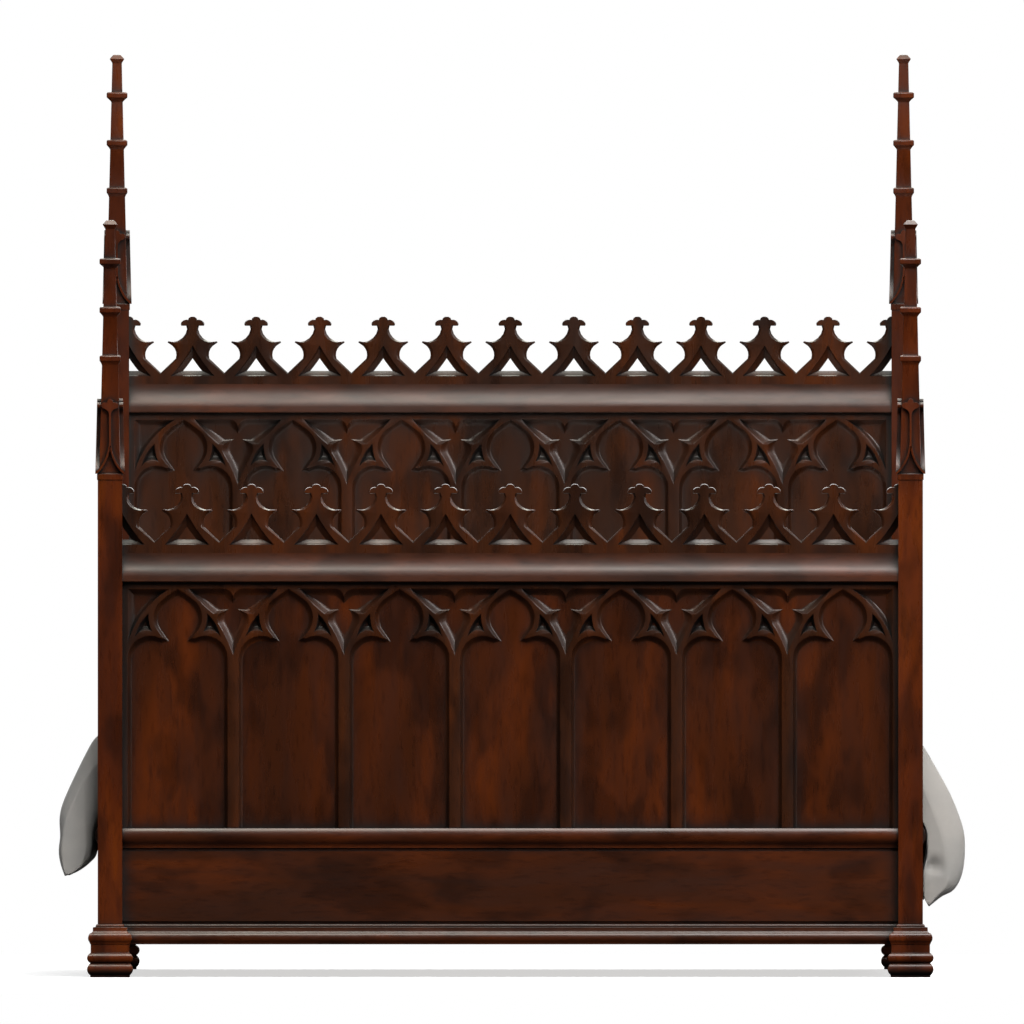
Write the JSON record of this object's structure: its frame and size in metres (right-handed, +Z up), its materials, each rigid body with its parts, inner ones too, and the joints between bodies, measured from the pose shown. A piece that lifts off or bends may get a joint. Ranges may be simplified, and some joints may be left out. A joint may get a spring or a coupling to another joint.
{
  "type": "miniature four poster bed",
  "caption": "Dolls' house Gothic four poster bed: spired square posts, pierced cresting, traceried headboard and footboard, slatted base and lift-off bedding.",
  "frame": {"origin": "on the floor, under the middle of the bed, halfway between the four posts", "axes": "+X across the bed to its right side seen from the foot, -Y towards the foot end, +Z up"},
  "size_m": [0.181, 0.1792, 0.186],
  "materials": {
    "mahogany": "dark red-brown French polish, satin",
    "plain_wood": "unfinished lime",
    "ticking": "cotton ticking, matt",
    "pillow_cotton": "plain cotton, matt",
    "duvet_cloth": "quilted cotton, matt"
  },
  "bodies": {
    "bedstead": {"foot_left_post": "mahogany", "foot_left_plinth": "mahogany", "foot_left_spire": "mahogany", "foot_left_gablet": "mahogany", "foot_right_post": "mahogany", "foot_right_plinth": "mahogany", "foot_right_spire": "mahogany", "foot_right_gablet": "mahogany", "head_left_post": "mahogany", "head_left_plinth": "mahogany", "head_left_spire": "mahogany", "head_left_gablet": "mahogany", "head_right_post": "mahogany", "head_right_plinth": "mahogany", "head_right_spire": "mahogany", "head_right_gablet": "mahogany", "footboard_top_rail": "mahogany", "footboard_cresting": "mahogany", "footboard_tracery": "mahogany", "footboard_panel": "mahogany", "footboard_mid_rail": "mahogany", "footboard_bottom_rail": "mahogany", "footboard_base_moulding": "mahogany", "headboard_top_rail": "mahogany", "headboard_cresting": "mahogany", "headboard_tracery": "mahogany", "headboard_panel": "mahogany", "headboard_mid_rail": "mahogany", "headboard_bottom_rail": "mahogany", "headboard_base_moulding": "mahogany", "left_side_rail": "mahogany", "left_side_roll": "mahogany", "left_side_base_moulding": "mahogany", "right_side_rail": "mahogany", "right_side_roll": "mahogany", "right_side_base_moulding": "mahogany", "left_ledger": "plain_wood", "right_ledger": "plain_wood", "slats": "plain_wood"},
    "mattress": {"mattress": "ticking"},
    "duvet": {"duvet": "duvet_cloth"},
    "left_pillow": {"left_pillow": "pillow_cotton"},
    "right_pillow": {"right_pillow": "pillow_cotton"}
  },
  "joints": [
    {"name": "mattress_lift", "type": "slide", "parent": "bedstead", "child": "mattress", "axis": [0, 0, 1], "range_m": [0, 0.175]},
    {"name": "duvet_lift", "type": "slide", "parent": "mattress", "child": "duvet", "axis": [0, 0, 1], "range_m": [0, 0.175]},
    {"name": "left_pillow_lift", "type": "slide", "parent": "mattress", "child": "left_pillow", "axis": [0, 0, 1], "range_m": [0, 0.15]},
    {"name": "right_pillow_lift", "type": "slide", "parent": "mattress", "child": "right_pillow", "axis": [0, 0, 1], "range_m": [0, 0.15]}
  ]
}
